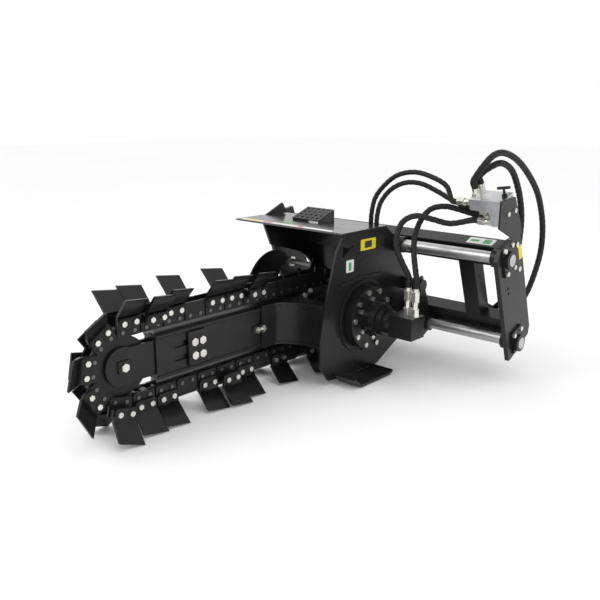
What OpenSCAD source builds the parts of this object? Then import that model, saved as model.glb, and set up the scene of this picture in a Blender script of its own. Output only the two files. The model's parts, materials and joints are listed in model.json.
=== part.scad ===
// Side-shift chain trencher for a skid-steer loader.
// +Z is up, the nose of the boom points to -Y and the drive motor to +X.
// The origin is on the ground, below the middle of the machine.

/* [Chain] */
// Distance between two chain pins
chain_pitch = 50.8; // [48:0.1:55]
// Teeth on the drive sprocket and grooves round the nose idler
sprocket_teeth = 16; // [16]
// Pitches in each straight run of the chain
straight_pitches = 22; // [18:2:26]
// Diameter of the chain rollers
roller_d = 30; // [26:1:34]
// Width of the chain rollers
roller_w = 38; // [34:1:46]
// Diameter of the chain pins
pin_d = 16; // [12:1:18]
// Thickness of one side bar
bar_t = 8; // [6:1:9]
// Length of one side bar
bar_len = 96; // [88:1:98]
// Depth of a side bar inside the pin line
bar_in = 18; // [15:1:20]
// Depth of a side bar outside the pin line
bar_out = 52; // [48:1:56]

/* [Teeth] */
// Radius from the boom's centre line to the leading corner of a tooth
tooth_reach = 265; // [255:1:290]
// Height that the trailing corner gives up
tooth_rake = 12; // [6:1:30]
// Width of a tooth along the chain
tooth_w = 96; // [88:1:98]
// Thickness of the tooth plate
tooth_t = 10; // [8:1:12]
// Outward lean of the tooth's blade, in degrees
tooth_flare = 42; // [20:1:48]
// Sideways step of the wide-cut teeth
tooth_step = 28; // [20:1:34]

/* [Boom] */
// Sideways place of the boom's centre plane
boom_x = -141; // [-160:1:-120]
// Width of the boom tube
boom_w = 70; // [64:1:76]
// Height of the boom tube
boom_h = 150; // [130:1:156]
// Wall of the boom tube
boom_wall = 8; // [6:1:9]
// Gap from the nose axle to the boom tube's front end
boom_front = 140; // [120:1:150]
// Length of the adjusting slots
slot_len = 152; // [130:1:160]
// Diameter of the clamp bolts
clamp_bolt_d = 20; // [16:1:22]
// Diameter of the nose idler's axle
nose_axle_d = 35; // [30:1:40]

/* [Drive] */
// Fore-and-aft place of the drive axle
drive_y = 437.6; // [430:0.1:445]
// Diameter of the drive shaft
drive_shaft_d = 70; // [60:1:80]
// Diameter of the gearbox flange
flange_d = 280; // [260:1:300]
// Thickness of the gearbox flange
flange_t = 50; // [40:1:60]
// Outer radius of the spoil auger
auger_r = 226; // [220:1:252]
// Length of the spoil auger
auger_len = 190; // [160:1:240]
// Diameter of the motor body
motor_d = 100; // [90:1:110]
// Length of the motor body
motor_len = 62; // [56:1:80]

/* [Head] */
// Outer face of the side plate that carries the gearbox
side_x = 104; // [96:1:112]
// Thickness of the head's side plates
side_t = 10; // [8:1:12]
// Left edge of the deflector
deflector_left = -549; // [-560:1:-530]
// Height of the deflector's top face above the drive axle
deflector_rise = 389; // [375:1:400]
// Thickness of the deflector plate
deflector_t = 8; // [6:1:10]
// Width of the skid shoe
shoe_w = 120; // [100:1:140]
// Length of the skid shoe's flat sole
shoe_len = 210; // [180:1:240]

/* [Side-shift frame] */
// Overall length of the side-shift shafts
shaft_len = 1368; // [1340:1:1440]
// Diameter of the side-shift shafts
shaft_d = 50; // [44:1:56]
// Distance between the two shafts
shaft_gap = 413; // [400:1:430]
// Backward place of the upper shaft
shaft_y = 677; // [670:1:690]
// Height of the upper shaft above the drive axle
shaft_rise = 296; // [285:1:305]
// Forward lean of the frame, in degrees
lean = 20; // [16:1:22]
// Thickness of the end plates
end_t = 20; // [16:1:24]
// Depth of the end plates in front of the shafts
end_front = 79; // [72:1:84]
// Depth of the end plates behind the shafts
end_back = 128; // [120:1:134]
// Height of the rectangular beams
beam_h = 92; // [80:1:96]
// Depth of the rectangular beams
beam_d = 75; // [65:1:80]
// Wall of the beams and uprights
beam_wall = 6; // [4:1:8]
// Sideways place of the uprights
upright_x = 435; // [420:1:450]
// Outside diameter of the tubes that slide on the shafts
slide_tube_d = 74; // [70:1:80]
// Bore of the side-shift cylinder
cyl_bore = 46; // [40:1:48]
// Outside diameter of the side-shift cylinder
cyl_d = 58; // [54:1:60]

/* [Fits] */
// Gap between sliding faces
slide_gap = 0.3; // [0.2:0.05:0.5]
// Radial gap of a running shaft
run_gap = 0.05; // [0.02:0.01:0.08]
// Radial gap round a bolt
bolt_gap = 0.5; // [0.2:0.1:1]

/* [Hidden] */
$fn = 48;

e = 0.01;
paint = [0.07, 0.07, 0.075];
steel = [0.75, 0.76, 0.78];
zinc = [0.82, 0.82, 0.80];
rubber = [0.05, 0.05, 0.05];

// Chain geometry
pitch_r = chain_pitch / (2 * sin(180 / sprocket_teeth));
half_wrap = sprocket_teeth / 2;
centre_distance = straight_pitches * chain_pitch;
pin_count = 2 * straight_pitches + sprocket_teeth;
drive_z = tooth_reach;
nose_y = drive_y - centre_distance;
inner_bar_x = roller_w / 2 + slide_gap;
outer_bar_x = inner_bar_x + bar_t + slide_gap;
bar_face_x = outer_bar_x + bar_t;
root_r = pitch_r - roller_d / 2;

// Boom
tube_front_y = nose_y + boom_front;
tube_back_y = drive_y - 290;
cap_t = 10;
cap_w = boom_w + 12;
slot_h = clamp_bolt_d + 2;
bolt_dz = 27;
bolt_dy = 39;
slot_front_y = nose_y + 226;
clamp_y = nose_y + 328.5;
fork_t = 12;
fork_w = boom_w - 2 * boom_wall - 2 * slide_gap;
fork_h = boom_h - 2 * boom_wall - 2 * slide_gap;
fork_back_y = nose_y + 420;
fork_tip_r = 74;
idler_w = fork_w - 2 * fork_t - 2 * slide_gap;
idler_r = root_r - slide_gap;
clamp_w = 85;
clamp_h = 136;
clamp_t = 10;
receiver_front_y = nose_y + 682;
receiver_back_y = drive_y - 176;
receiver_wall = 10;
receiver_w = boom_w + 2 * receiver_wall + 2 * slide_gap;
receiver_h = 2 * 93;

// Frame, in leaning coordinates: x, v backwards, u upwards from the upper shaft
shaft_z = drive_z + shaft_rise;
end_x = shaft_len / 2 - 25 - end_t;
beam_v = 40;
upper_beam_top = 25;
lower_beam_top = -shaft_gap + 72;
collar_d = 2 * (beam_v - 1);
collar_len = 42;
clamp_plate_t = 9;
cyl_u = -shaft_gap / 2;
cyl_v = -2;
rod_d = 30;
barrel_left = -300;
barrel_right = side_x + 112;
piston_x = barrel_left + 374;
left_port_x = barrel_left + 40;
right_port_x = 30;
deflector_back = 94;
carriage_x = -382;
carriage_t = 12;
right_x = side_x + 92;
slide_left = -420;
upper_slide_right = side_x + 50;
lower_slide_right = side_x + 117;
bush_len = 60;
bush_t = 6;
slide_bore = shaft_d + 2 * bush_t + 2 * run_gap;

// Drive
tooth_out = bar_face_x + tooth_step + tooth_t + (tooth_reach - pitch_r - 66) * tan(tooth_flare);
auger_left = boom_x - tooth_out - 12 - auger_len;
auger_tube_d = 114;
flight_t = 8;
reducer_x = side_x + flange_t;
reducer_d = 150;
reducer_len = 62;
motor_x = reducer_x + reducer_len;
block_len = 118;
block_h = 96;

function lean_point(v, u) = [shaft_y + v * cos(lean) - u * sin(lean), shaft_z + v * sin(lean)
    + u * cos(lean)];

// Centre of chain pin i in the boom's plane, as [y, z]; pins count in the direction of travel
function pin_at(i) =
    i <= straight_pitches
        ? [drive_y - i * chain_pitch, drive_z + pitch_r]
    : i <= straight_pitches + half_wrap
        ? let (a = (i - straight_pitches) * 360 / sprocket_teeth)
            [nose_y - pitch_r * sin(a), drive_z + pitch_r * cos(a)]
    : i <= 2 * straight_pitches + half_wrap
        ? [nose_y + (i - straight_pitches - half_wrap) * chain_pitch, drive_z - pitch_r]
    : let (a = (i - 2 * straight_pitches - half_wrap) * 360 / sprocket_teeth)
        [drive_y + pitch_r * sin(a), drive_z - pitch_r * cos(a)];

// Turn of link i, which runs from pin i to pin i + 1
function link_turn(i) =
    i < straight_pitches ? 0
    : i < straight_pitches + half_wrap ? (i - straight_pitches + 0.5) * 360 / sprocket_teeth
    : i < 2 * straight_pitches + half_wrap ? 180
    : 180 + (i - 2 * straight_pitches - half_wrap + 0.5) * 360 / sprocket_teeth;

// Puts its children on link i: y runs along the link against travel, z outwards from the pin line
module on_link(i) {
    mid = (pin_at(i) + pin_at(i + 1)) / 2;
    translate([boom_x, mid[0], mid[1]]) rotate([link_turn(i), 0, 0]) children();
}

module at_drive() { translate([0, drive_y, drive_z]) children(); }
module at_nose() { translate([0, nose_y, drive_z]) children(); }
module leaning() { translate([0, shaft_y, shaft_z]) rotate([lean, 0, 0]) children(); }

// A cylinder along +X from x
module rod_x(x, len, d) { translate([x, 0, 0]) rotate([0, 90, 0]) cylinder(d = d, h = len); }
// A tube along +X from x
module tube_x(x, len, d, bore) {
    difference() {
        rod_x(x, len, d);
        rod_x(x - 1, len + 2, bore);
    }
}
// A six-sided bolt head or nut along +X
module hex_x(x, len, across) { translate([x, 0, 0]) rotate([0, 90, 0]) cylinder(d = across / cos(30),
    h = len, $fn = 6); }
// A plate across X, its outline given as [y, z] points
module plate_x(x, t, outline) {
    translate([x, 0, 0]) rotate([90, 0, 90]) linear_extrude(height = t) polygon(outline);
}
// A hollow rectangular section along +X, in leaning coordinates
module box_beam(x, len, v, u, depth, height, wall) {
    difference() {
        translate([x, v, u]) cube([len, depth, height]);
        translate([x - 1, v + wall, u + wall]) cube([len + 2, depth - 2 * wall, height - 2 * wall]);
    }
}

/* Side-shift frame */

end_outline = [[-end_front, -shaft_gap - 50], [-end_front, 30], [-38, 66], [40, 72], [end_back, 56],
    [end_back, -shaft_gap + 8], [end_back - 22, -shaft_gap - 26], [30, -shaft_gap - 34], [-52,
        -shaft_gap - 50]];
clamp_bolt_spots = [[-30, 56], [30, 56], [-30, -50], [30, -50]];
plate_bolt_spots = [[80, 30], [80, -86]];

module end_plate(x) {
    leaning() difference() {
        plate_x(x, end_t, end_outline);
        for (u = [0, -shaft_gap]) translate([0, 0, u]) {
            rod_x(x - 1, end_t + 2, shaft_d + 2 * run_gap);
        }
    }
}
module end_plate_left() { color(paint) end_plate(-end_x - end_t); }
module end_plate_right() {
    color(paint) difference() {
        end_plate(end_x);
        leaning() for (u = [-128, -152]) translate([0, -20, u]) rod_x(end_x - 1, end_t + 2, 12);
    }
}
module upper_beam() {
    color(paint) leaning() box_beam(-end_x, 2 * end_x, beam_v, upper_beam_top - beam_h, beam_d, beam_h,
        beam_wall);
}
module lower_beam() {
    color(paint) leaning() box_beam(-end_x, 2 * end_x, beam_v, lower_beam_top - beam_h, beam_d, beam_h,
        beam_wall);
}
module uprights() {
    clear_h = upper_beam_top - beam_h - lower_beam_top;
    color(paint) leaning() for (s = [-1, 1])
        translate([s * upright_x, beam_v, lower_beam_top]) difference() {
            translate([-beam_d / 2, 0, 0]) cube([beam_d, beam_d, clear_h]);
            translate([-beam_d / 2 + beam_wall, beam_wall, -1])
                cube([beam_d - 2 * beam_wall, beam_d - 2 * beam_wall, clear_h + 2]);
        }
}
module corner_gussets() {
    gusset = 62;
    color(paint) leaning() for (s = [-1, 1])
        translate([s * end_x, beam_v + 26, lower_beam_top]) rotate([90, 0, 0])
            linear_extrude(height = 10) polygon([[0, 0], [-s * gusset, 0], [0, gusset]]);
}
module upper_shaft() { color(steel) leaning() rod_x(-shaft_len / 2, shaft_len, shaft_d); }
module lower_shaft() {
    color(steel) leaning() translate([0, 0, -shaft_gap]) rod_x(-shaft_len / 2, shaft_len, shaft_d);
}
module shaft_collars() {
    color(paint) leaning() for (u = [0, -shaft_gap], s = [-1, 1])
        translate([0, 0, u])
            tube_x(s > 0 ? end_x - collar_len : -end_x, collar_len, collar_d, shaft_d + 2 * run_gap);
}
module shaft_clamps() {
    t = shaft_len / 2 - end_x - end_t - 3;
    color(paint) leaning() for (u = [0, -shaft_gap], s = [-1, 1])
        translate([0, 0, u]) difference() {
            union() {
                translate([s > 0 ? end_x + end_t : -end_x - end_t - clamp_plate_t, -42,
                    u == 0 ? -64 : -34])
                    cube([clamp_plate_t, 84, u == 0 ? 134 : 104]);
                rod_x(s > 0 ? end_x + end_t : -end_x - end_t - t, t, shaft_d + 26);
            }
            rod_x(-shaft_len, 2 * shaft_len, shaft_d + 2 * run_gap);
            for (b = clamp_bolt_spots) if (u == 0 || b[1] > 0)
                translate([0, b[0], b[1]]) rod_x(-shaft_len, 2 * shaft_len, 13);
        }
}
module clamp_screws() {
    face = end_x + end_t + clamp_plate_t;
    color(zinc) leaning() for (u = [0, -shaft_gap], b = clamp_bolt_spots, s = [-1, 1])
        if (u == 0 || b[1] > 0) translate([0, b[0], u + b[1]]) {
            rod_x(s > 0 ? end_x + end_t : -face, clamp_plate_t, 12);
            hex_x(s > 0 ? face : -face - 9, 9, 20);
        }
    color(zinc) leaning() for (b = plate_bolt_spots, s = [-1, 1])
        translate([0, b[0], b[1]]) hex_x(s > 0 ? end_x + end_t : -end_x - end_t - 10, 10, 22);
}
module hitch_lip() {
    color(paint) leaning()
        plate_x(-560, 1120, [[beam_v + beam_d, upper_beam_top], [beam_v + beam_d + 50,
            upper_beam_top - 50],
            [beam_v + beam_d + 41, upper_beam_top - 59], [beam_v + beam_d, upper_beam_top - 18]]);
}
module latch_plate() {
    v = beam_v + beam_d;
    foot = lower_beam_top - beam_h;
    color(paint) leaning() difference() {
        plate_x(-560, 1120, [[v, foot + 84], [v + 12, foot + 84], [v + 12, foot + 6], [v + 22, foot - 4],
            [v + 14, foot - 12], [v, foot + 2]]);
        for (s = [-1, 1]) translate([s * 390 - 32, v - 1, foot + 22]) cube([64, 14, 26]);
    }
}
bracket_outline = [[44, 78], [end_back - 6, 60], [end_back - 2, 100], [104, 236], [-8, 268], [-48, 166]];
module valve_bracket() {
    color(paint) leaning() difference() {
        plate_x(end_x + end_t, 8, bracket_outline);
        for (b = [[26, 196], [84, 186]]) translate([0, b[0], b[1]]) rod_x(end_x, 60, 11);
    }
}
module bracket_bolts() {
    color(zinc) leaning() for (b = [[26, 196], [84, 186]]) translate([0, b[0], b[1]]) {
        rod_x(end_x + end_t - 20, 28, 10);
        hex_x(end_x + end_t + 8, 8, 19);
    }
}

// Hydraulic valve on the bracket's inner face
valve_x = end_x + end_t - 62;
valve_v = 10;
valve_u = 140;
valve_w = 62;
valve_d = 92;
valve_h = 116;
manifold_w = 90;
// Ports on the left: [v, u, distance of the seat from the block's left face]
side_ports = [[34, 230, manifold_w], [54, 184, 0], [30, 150, 0], [76, 150, 0]];
fitting_len = 66;
top_port_x = valve_x - manifold_w + 22;
top_ports = [26, 72];
top_fitting_h = 40;
module valve_block() {
    color(steel) leaning() difference() {
        union() {
            translate([valve_x, valve_v, valve_u]) cube([valve_w, valve_d, valve_h]);
            translate([valve_x - manifold_w, valve_v, valve_u + valve_h - 50]) cube([manifold_w + e,
                valve_d, 50]);
        }
        for (b = [[26, 196], [84, 186]]) translate([0, b[0], b[1]]) rod_x(valve_x + valve_w - 21, 30, 11);
    }
}
module valve_fittings() {
    color(zinc) leaning() {
        for (p = side_ports) translate([0, p[0], p[1]]) {
            hex_x(valve_x - p[2] - 22, 22, 30);
            rod_x(valve_x - p[2] - 58, 36, 22);
            hex_x(valve_x - p[2] - fitting_len, 32, 32);
        }
        for (v = top_ports) translate([top_port_x, valve_v + v, valve_u + valve_h]) {
            cylinder(d = 32 / cos(30), h = 18, $fn = 6);
            translate([0, 0, 18]) cylinder(d = 28, h = top_fitting_h - 18);
        }
    }
}
module flow_knob() {
    color(rubber) leaning() translate([valve_x + valve_w - 14, valve_v + 46,
        valve_u + valve_h + run_gap]) {
        cylinder(d = 10, h = 40);
        cylinder(d = 22, h = 12);
        translate([0, 0, 40]) rotate([0, 0, -70]) rotate([90, 0, 0]) translate([0, 0, -26])
            cylinder(d = 12, h = 52);
    }
}

// Side-shift cylinder: the rod belongs to the frame and the barrel to the head
module at_cylinder() { leaning() translate([0, cyl_v, cyl_u]) children(); }
module shift_rod() {
    color(steel) at_cylinder() {
        rod_x(-end_x, piston_x + end_x, rod_d);
        rod_x(piston_x, 30, cyl_bore - 2 * slide_gap);
    }
}
module rod_nut() { color(zinc) at_cylinder() difference() { hex_x(-end_x, 26, 50); rod_x(-end_x - 1, 28,
    rod_d + 0.1); } }
module cylinder_barrel() {
    color(paint) at_cylinder() difference() {
        union() {
            rod_x(barrel_left, barrel_right - barrel_left, cyl_d);
            rod_x(barrel_left - 14, 14 + e, cyl_d + 6);
            for (x = [left_port_x, right_port_x]) translate([x, 0, cyl_d / 2 - 4]) cylinder(d = 24,
                h = 16);
        }
        rod_x(barrel_left + 18, barrel_right - barrel_left - 32, cyl_bore);
        rod_x(barrel_left - 20, 50, rod_d + 2 * run_gap);
    }
}

/* Head that slides on the shafts */

module slide_tube(u, right) {
    leaning() translate([0, 0, u]) tube_x(slide_left, right - slide_left, slide_tube_d, slide_bore);
}
module upper_slide_tube() { color(paint) slide_tube(0, upper_slide_right); }
module lower_slide_tube() { color(paint) slide_tube(-shaft_gap, lower_slide_right); }
module slide_bushes() {
    color("tan") leaning() for (p = [[0, upper_slide_right], [-shaft_gap, lower_slide_right]])
        for (x = [slide_left, p[1] - bush_len])
            translate([0, 0, p[0]]) tube_x(x, bush_len, slide_bore, shaft_d + 2 * run_gap);
}

// Holes that let the tubes and the cylinder pass through a plate of the head
module head_holes(x, t) {
    leaning() {
        for (u = [0, -shaft_gap]) translate([0, 0, u]) rod_x(x - 1, t + 2, slide_tube_d);
        translate([0, cyl_v, cyl_u]) rod_x(x - 1, t + 2, cyl_d);
    }
}

top_z = drive_z + deflector_rise - deflector_t;
side_back = 24;
lean_top = lean_point(side_back, 20);
lean_low = lean_point(side_back, -shaft_gap - 30);
side_outline = [[drive_y - 144, top_z], [lean_top[0] - deflector_back, top_z], [lean_top[0] - 40,
    top_z - 40], lean_top, lean_low,
    [drive_y + 250, drive_z - 182], [drive_y + 135, 24], [drive_y + 110, 12], [drive_y - 150, 12],
    [drive_y - 236, drive_z - 244], [drive_y - 288, drive_z - 172], [drive_y - 292, drive_z - 59],
    [drive_y - 272, drive_z + 47], [drive_y - 233, drive_z + 171], [drive_y - 189, drive_z + 316]];
module side_plate() {
    hatch = [[drive_y - 148, drive_z + 350], [drive_y - 74, drive_z + 328], [drive_y - 150,
        drive_z + 284]];
    color(paint) difference() {
        plate_x(side_x - side_t, side_t, side_outline);
        head_holes(side_x - side_t, side_t);
        at_drive() rod_x(side_x - side_t - 1, side_t + 2, flange_d - 80);
        plate_x(side_x - side_t - 1, side_t + 2, hatch);
    }
}
module side_ribs() {
    fold = drive_z + 160;
    color(paint) {
        at_drive() tube_x(side_x, 7, 336, 304);
        translate([side_x, drive_y - 168, fold]) rotate([90, 0, 90]) linear_extrude(height = 5)
            polygon([[0, 0], [150, 10], [300, 6], [300, 22], [150, 26], [4, 14]]);
    }
}
module carriage_plate_left() {
    reach = auger_r + 12;
    front = drive_y - 144;
    color(paint) difference() {
        plate_x(carriage_x, carriage_t, [[front, top_z], [lean_top[0] - deflector_back, top_z],
            [lean_top[0] - 40, top_z - 40],
            lean_top, lean_low, lean_point(-50, -shaft_gap - 30), lean_point(-62, -shaft_gap + 30),
            [drive_y + 200, drive_z + 40], [drive_y + 30, drive_z + 240], [front + 46, drive_z + 276]]);
        head_holes(carriage_x, carriage_t);
        at_drive() rod_x(carriage_x - 1, carriage_t + 2, 2 * reach);
    }
}
module carriage_plate_right() {
    color(paint) difference() {
        leaning() plate_x(right_x, carriage_t, [[-64, cyl_u + 34], [20, cyl_u + 40], [side_back,
            -shaft_gap - 30],
            [-50, -shaft_gap - 40], [-84, -shaft_gap + 40]]);
        head_holes(right_x, carriage_t);
    }
}
module deflector() {
    back = lean_top[0] - deflector_back;
    color(paint) difference() {
        translate([deflector_left, drive_y - 156, top_z]) cube([side_x - deflector_left,
            back - drive_y + 156, deflector_t]);
        translate([deflector_left - 1, drive_y - 120, top_z - 1]) rotate([0, 0, 0])
            linear_extrude(height = deflector_t + 2) polygon([[0, 130], [70, 400], [0, 400]]);
    }
}
module rear_panel() {
    y = lean_top[0] - deflector_back - 8;
    color(paint) translate([carriage_x + carriage_t, y, drive_z + 258])
        cube([side_x - side_t - carriage_x - carriage_t, 8, top_z - drive_z - 258]);
    // Sheet in front of the slide tubes, ending short of the cylinder's hose
    color(paint) leaning() translate([carriage_x + carriage_t, -slide_tube_d / 2 - 10, -260]) cube([285,
        10, 250]);
}
module lifting_fin() {
    color(paint) plate_x(deflector_left + 12, 12, [[drive_y + 24, top_z + deflector_t], [drive_y + 142,
        top_z + deflector_t],
        [drive_y + 168, top_z + deflector_t + 12], [drive_y + 142, top_z + 58]]);
}
module step_tread() {
    color(paint) translate([boom_x - 188, drive_y + 4, top_z + deflector_t]) difference() {
        union() {
            rotate([lean, 0, 0]) translate([0, 0, 6]) cube([165, 118, 5]);
            for (x = [0, 159]) plate_x(x, 6, [[0, 0], [108, 0], [108, 44], [0, 8]]);
        }
        rotate([lean, 0, 0]) for (i = [0:4], j = [0:3])
            translate([20 + i * 31, 18 + j * 27, 0]) cylinder(d = 14, h = 20, $fn = 24);
    }
}

// Boom bracket: a box round the boom tube, and a curved cheek that flares out to the side plate
flare_r = 250;
module boom_bracket() {
    half = receiver_w / 2;
    face = boom_x + half;
    run = side_x - side_t - face;
    color(paint) {
        difference() {
            translate([boom_x - half, receiver_front_y, drive_z - receiver_h / 2])
                cube([receiver_w, receiver_back_y - receiver_front_y, receiver_h]);
            translate([boom_x - boom_w / 2 - slide_gap, receiver_front_y - 1,
                drive_z - boom_h / 2 - slide_gap])
                cube([boom_w + 2 * slide_gap, receiver_back_y - receiver_front_y + 2,
                    boom_h + 2 * slide_gap]);
            at_nose() translate([boom_x, 0, 0]) rod_x(-300, 1, 1);
        }
        translate([0, 0, drive_z]) for (z = [-receiver_h / 2, -receiver_h / 2 + 6, receiver_h / 2 - 12])
            if (z != -receiver_h / 2 + 6) translate([0, 0, z]) linear_extrude(height = 12)
                polygon(concat([[face, receiver_front_y + 70]],
                    [for (a = [0:15:90]) [face + run * (1 - cos(a)) ,
                        receiver_front_y + 70 + 86 * sin(a)]],
                    [[side_x - side_t, receiver_back_y - 24], [face, receiver_back_y - 24]]));
        translate([0, 0, drive_z - receiver_h / 2 + 12]) linear_extrude(height = receiver_h - 24)
            polygon(concat([for (a = [0:15:90]) [face + run * (1 - cos(a)),
                receiver_front_y + 76 + 86 * sin(a)]],
                [for (a = [90:-15:0]) [face + run * (1 - cos(a)), receiver_front_y + 88 + 86 * sin(a)]]));
    }
}
module skid_shoe() {
    x = side_x;
    y = drive_y - 160;
    color(paint) {
        plate_x(x, shoe_w, [[y - 46, 40], [y - 38, 48], [y + 6, 12], [y + shoe_len, 12],
            [y + shoe_len + 24, 22],
            [y + shoe_len + 28, 14], [y + shoe_len, 0], [y, 0]]);
    }
}
module scraper() {
    x = side_x - side_t - 60;
    color(paint) translate([x, drive_y - 200, drive_z - 120]) rotate([90, 0, 90])
        linear_extrude(height = 60)
        difference() {
            translate([0, -120]) circle(r = 120);
            translate([0, -120]) circle(r = 108);
            translate([-300, -400]) square([300, 600]);
            translate([-300, -520]) square([600, 400]);
        }
}
module gearbox() {
    bolt_r = flange_d / 2 - 17;
    color(paint) at_drive() difference() {
        union() {
            rod_x(side_x, flange_t, flange_d);
            rod_x(side_x - 44, 44 + e, flange_d - 80.2);
            rod_x(reducer_x - e, reducer_len + e, reducer_d);
        }
        for (i = [0:9]) rotate([i * 36 + 14, 0, 0]) translate([0, 0, bolt_r]) rod_x(side_x - 1,
            flange_t + 2, 15);
        rod_x(side_x - 45, 40, drive_shaft_d + 2 * run_gap);
    }
}
module gearbox_bolts() {
    bolt_r = flange_d / 2 - 17;
    color(zinc) at_drive() {
        for (i = [0:9]) rotate([i * 36 + 14, 0, 0]) translate([0, 0, bolt_r]) {
            rod_x(side_x, flange_t, 14);
            hex_x(side_x + flange_t, 10, 22);
        }
        for (i = [0:5]) rotate([i * 60 + 2, 0, 0]) translate([0, 0, reducer_d / 2 + 12])
            hex_x(reducer_x, 10, 20);
    }
}
module motor() {
    color(paint) at_drive() {
        rod_x(motor_x, 26, 126);
        rod_x(motor_x + 26 - e, motor_len - 26, motor_d);
        translate([motor_x + motor_len - e, -block_h / 2, -block_h / 2]) cube([block_len, block_h,
            block_h]);
    }
}
port_x = motor_x + motor_len + block_len / 2 + 22;
port_dx = 19;
port_top = drive_z + block_h / 2 + 122;
module motor_fittings() {
    color(zinc) at_drive() for (s = [-1, 1]) translate([port_x + s * port_dx, 0, block_h / 2]) {
        cylinder(d = 32 / cos(30), h = 34, $fn = 6);
        translate([0, 0, 34]) cylinder(d = 26, h = 30);
        translate([0, 0, 64]) cylinder(d = 31 / cos(30), h = 44, $fn = 6);
        translate([0, 0, 108]) cylinder(d = 26, h = 14);
    }
}

/* Boom */

module boom_tube() {
    len = tube_back_y + 20 - tube_front_y;
    color(paint) difference() {
        union() {
            translate([boom_x - boom_w / 2, tube_front_y, drive_z - boom_h / 2]) cube([boom_w, len,
                boom_h]);
            for (z = [-boom_h / 2 - cap_t, boom_h / 2])
                translate([boom_x - cap_w / 2, tube_front_y, drive_z + z])
                    cube([cap_w, receiver_front_y - tube_front_y, cap_t]);
        }
        translate([boom_x - boom_w / 2 + boom_wall, tube_front_y - 1, drive_z - boom_h / 2 + boom_wall])
            cube([boom_w - 2 * boom_wall, len + 2, boom_h - 2 * boom_wall]);
        for (z = [-bolt_dz, bolt_dz]) translate([boom_x - boom_w, slot_front_y, drive_z + z])
            rotate([90, 0, 90])
            linear_extrude(height = 2 * boom_w) {
                translate([slot_h / 2, -slot_h / 2]) square([slot_len - slot_h, slot_h]);
                for (y = [slot_h / 2, slot_len - slot_h / 2]) translate([y, 0]) circle(d = slot_h);
            }
    }
}
module guide_bars() {
    cap_z = boom_h / 2 + cap_t;
    color(steel) for (s = [-1, 1]) {
        translate([boom_x - 17, tube_front_y + 6, s > 0 ? drive_z + cap_z : drive_z - idler_r])
            cube([34, receiver_front_y - tube_front_y - 6, idler_r - cap_z]);
        translate([boom_x - 17, receiver_front_y, s > 0 ? drive_z + receiver_h / 2 : drive_z - idler_r])
            cube([34, drive_y - 168 - receiver_front_y, idler_r - receiver_h / 2]);
    }
}
module tension_screw() {
    color(zinc) translate([boom_x + boom_w / 2 + 19, receiver_front_y, drive_z]) rotate([90, 0, 0]) {
        cylinder(d = 16, h = 48);
        cylinder(d = 30 / cos(30), h = 14, $fn = 6);
        translate([0, 0, 34]) cylinder(d = 26 / cos(30), h = 12, $fn = 6);
    }
}
module nose_fork() {
    color(paint) difference() {
        union() {
            for (s = [-1, 1]) translate([boom_x + (s > 0 ? fork_w / 2 - fork_t : -fork_w / 2), 0, 0]) {
                translate([0, nose_y, drive_z - fork_h / 2]) cube([fork_t, fork_back_y - nose_y, fork_h]);
                at_nose() rod_x(0, fork_t, 2 * fork_tip_r);
            }
            translate([boom_x - fork_w / 2 + 1, tube_front_y + 10, drive_z - fork_h / 2])
                cube([fork_w - 2, fork_back_y - tube_front_y - 10, fork_h]);
        }
        at_nose() rod_x(boom_x - fork_w, 2 * fork_w, nose_axle_d + 2 * run_gap);
        for (y = [-bolt_dy / 2, bolt_dy / 2], z = [-bolt_dz, bolt_dz])
            translate([0, clamp_y + y, drive_z + z]) rod_x(boom_x - fork_w, 2 * fork_w,
                clamp_bolt_d + 0.1);
    }
}
module clamp_plates() {
    color(paint) difference() {
        for (s = [-1, 1])
            translate([boom_x + (s > 0 ? boom_w / 2 + slide_gap : -boom_w / 2 - clamp_t - slide_gap),
                clamp_y - clamp_w / 2, drive_z - clamp_h / 2]) cube([clamp_t, clamp_w, clamp_h]);
        for (y = [-bolt_dy / 2, bolt_dy / 2], z = [-bolt_dz, bolt_dz])
            translate([0, clamp_y + y, drive_z + z]) rod_x(boom_x - boom_w, 2 * boom_w,
                clamp_bolt_d + 0.1);
    }
}
module clamp_bolts() {
    face = boom_w / 2 + clamp_t + slide_gap;
    color(zinc) for (y = [-bolt_dy / 2, bolt_dy / 2], z = [-bolt_dz, bolt_dz])
        translate([boom_x, clamp_y + y, drive_z + z]) {
            rod_x(-face - 4, 2 * face + 8, clamp_bolt_d);
            hex_x(face, 13, 30);
            hex_x(-face - 16, 16, 30);
        }
}
module nose_axle() {
    face = fork_w / 2;
    color(zinc) at_nose() translate([boom_x, 0, 0]) {
        rod_x(-face, 2 * face, nose_axle_d);
        hex_x(face + 6, 12, 30);
    }
}
module axle_keepers() {
    face = fork_w / 2;
    color(paint) at_nose() translate([boom_x, 0, 0])
        for (s = [-1, 1]) translate([s > 0 ? face : -face - 6, -24, -24]) cube([6, 48, 48]);
}
module nose_idler() {
    color(steel) at_nose() difference() {
        union() {
            rod_x(boom_x - idler_w / 2, idler_w, 2 * idler_r);
        }
        rod_x(boom_x - idler_w, 2 * idler_w, nose_axle_d + 2 * run_gap);
    }
}

/* Drive line */

// Sprocket: a disc with a round seat for each roller
module sprocket() {
    tip_r = pitch_r + 8;
    seat_d = roller_d + 2 * slide_gap;
    color(steel) at_drive() translate([boom_x, 0, 0]) difference() {
        union() {
            rod_x(-14, 28, 2 * tip_r);
            rod_x(-17, 34, 150);
        }
        for (i = [0:sprocket_teeth - 1]) rotate([i * 360 / sprocket_teeth, 0, 0]) {
            translate([0, 0, pitch_r]) rod_x(-20, 40, seat_d);
            translate([-20, -seat_d * 0.6, pitch_r]) cube([40, seat_d * 1.2, 23]);
        }
        rod_x(-20, 40, drive_shaft_d);
    }
}
module drive_shaft() {
    color(steel) at_drive() rod_x(auger_left - 8, side_x - 10 - auger_left, drive_shaft_d);
}
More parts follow.
